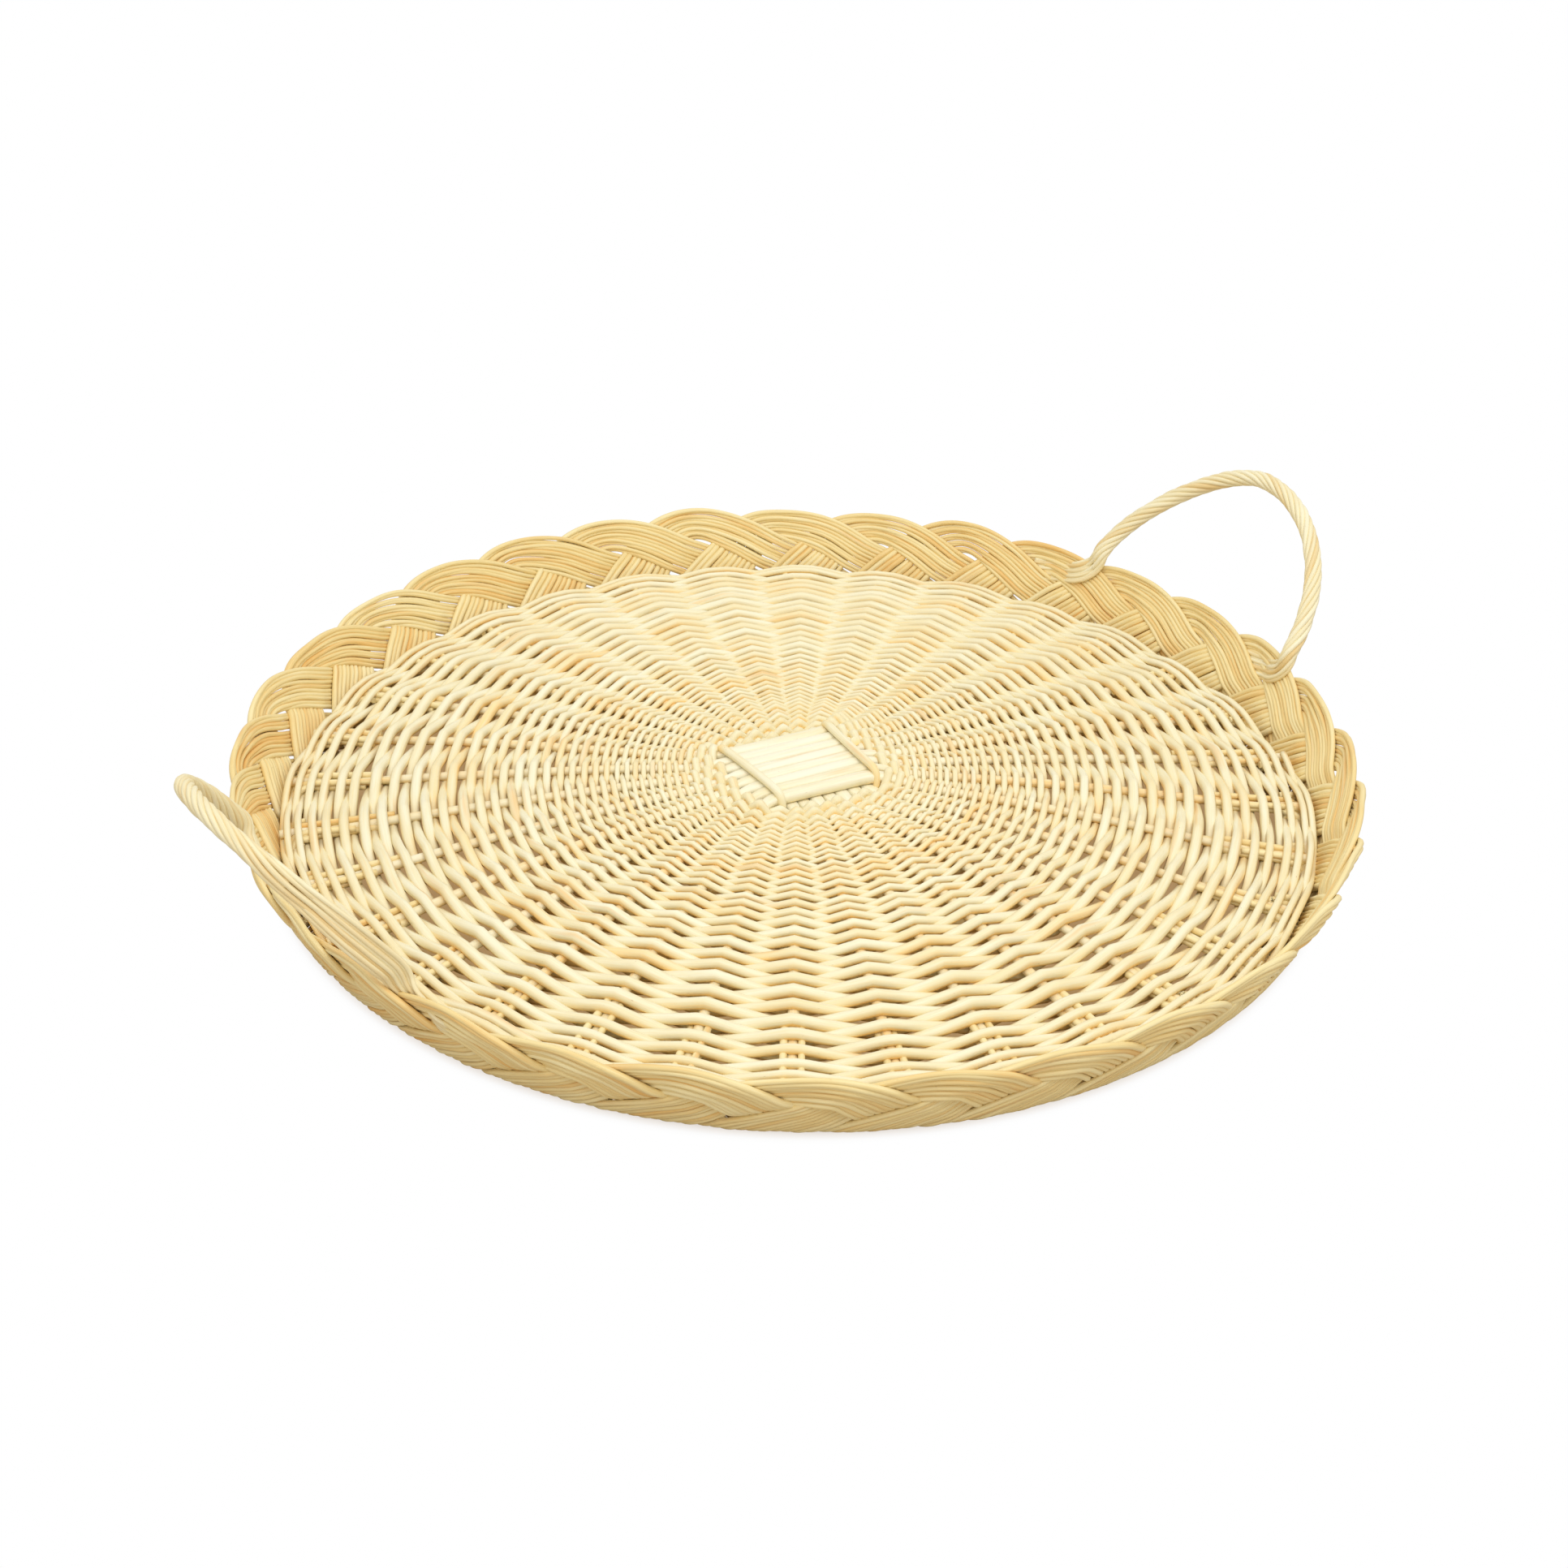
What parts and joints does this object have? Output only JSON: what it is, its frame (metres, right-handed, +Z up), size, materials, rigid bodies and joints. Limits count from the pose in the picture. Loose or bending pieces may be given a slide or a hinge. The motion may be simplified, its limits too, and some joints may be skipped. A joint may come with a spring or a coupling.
{
  "type": "round wicker tray basket",
  "caption": "Shallow round willow tray: a crowned woven floor on crossed sticks, a low plaited border that leans outwards, and twisted loop handles on opposite sides for carrying.",
  "frame": {"origin": "on the table, under the middle of the tray", "axes": "+Z up, +X from the middle towards the right handle, so both handles lie on the X axis"},
  "size_m": [0.5082, 0.4482, 0.0895],
  "materials": {
    "stick": "peeled willow, dry and matt",
    "weave": "peeled willow, dry with a faint sheen",
    "border": "thin peeled willow rods with a faint sheen",
    "handle": "thin peeled willow rods with a faint sheen"
  },
  "bodies": {
    "tray": {"upper_stick_1": "stick", "upper_stick_2": "stick", "upper_stick_3": "stick", "upper_stick_4": "stick", "upper_stick_5": "stick", "upper_stick_6": "stick", "upper_stick_7": "stick", "upper_stick_8": "stick", "lower_stick_1": "stick", "lower_stick_2": "stick", "lower_stick_3": "stick", "lower_stick_4": "stick", "lower_stick_5": "stick", "lower_stick_6": "stick", "lower_stick_7": "stick", "lower_stick_8": "stick", "cross_binding": "weave", "weaver_a": "weave", "weaver_b": "weave", "border_bundle_01": "border", "border_bundle_02": "border", "border_bundle_03": "border", "border_bundle_04": "border", "border_bundle_05": "border", "border_bundle_06": "border", "border_bundle_07": "border", "border_bundle_08": "border", "border_bundle_09": "border", "border_bundle_10": "border", "border_bundle_11": "border", "border_bundle_12": "border", "border_bundle_13": "border", "border_bundle_14": "border", "border_bundle_15": "border", "border_bundle_16": "border", "border_bundle_17": "border", "border_bundle_18": "border", "border_bundle_19": "border", "border_bundle_20": "border", "border_bundle_21": "border", "border_bundle_22": "border", "border_bundle_23": "border", "border_bundle_24": "border", "border_bundle_25": "border", "border_bundle_26": "border", "border_bundle_27": "border", "border_bundle_28": "border", "border_bundle_29": "border", "border_bundle_30": "border", "border_bundle_31": "border", "border_bundle_32": "border", "right_handle_tuck_a": "handle", "right_handle_tuck_b": "handle", "left_handle_tuck_a": "handle", "left_handle_tuck_b": "handle"},
    "right_handle": {"right_handle_loop": "handle"},
    "left_handle": {"left_handle_loop": "handle"}
  },
  "joints": [
    {"name": "right_handle_bend", "type": "hinge", "parent": "tray", "child": "right_handle", "pos_m": [0.21089, 0, 0.03699], "axis": [0, 1, 0], "range_deg": [-54, 21]},
    {"name": "left_handle_bend", "type": "hinge", "parent": "tray", "child": "left_handle", "pos_m": [-0.21089, 0, 0.03699], "axis": [0, -1, 0], "range_deg": [-54, 21]}
  ]
}
